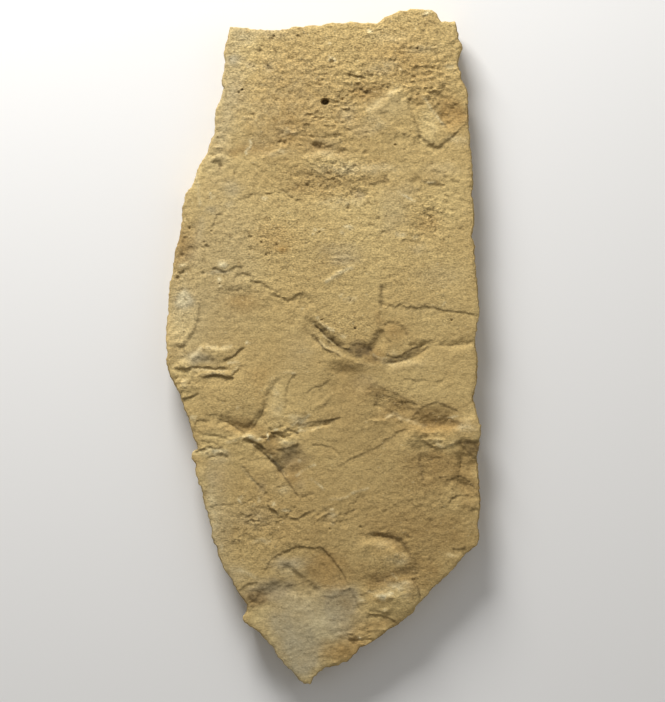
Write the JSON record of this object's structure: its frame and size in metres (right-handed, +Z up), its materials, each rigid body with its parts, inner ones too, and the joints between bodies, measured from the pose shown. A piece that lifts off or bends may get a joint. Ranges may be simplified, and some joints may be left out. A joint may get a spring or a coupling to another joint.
{
  "type": "fossil bird footprint slab",
  "caption": "Thin broken slab of ochre siltstone with shallow three-toed bird tracks pressed into its upper face, lying on its flat back.",
  "frame": {"origin": "middle of the bounding box in plan, on the surface that the flat back rests on", "axes": "+Z up out of the track face, +Y along the slab's length towards its wide end, +X across it"},
  "size_m": [0.1076, 0.2302, 0.0135],
  "materials": {
    "siltstone": "matte, grainy ochre to tan siltstone with greyer and browner patches"
  },
  "bodies": {
    "root": {"track_slab": "siltstone"}
  },
  "joints": []
}
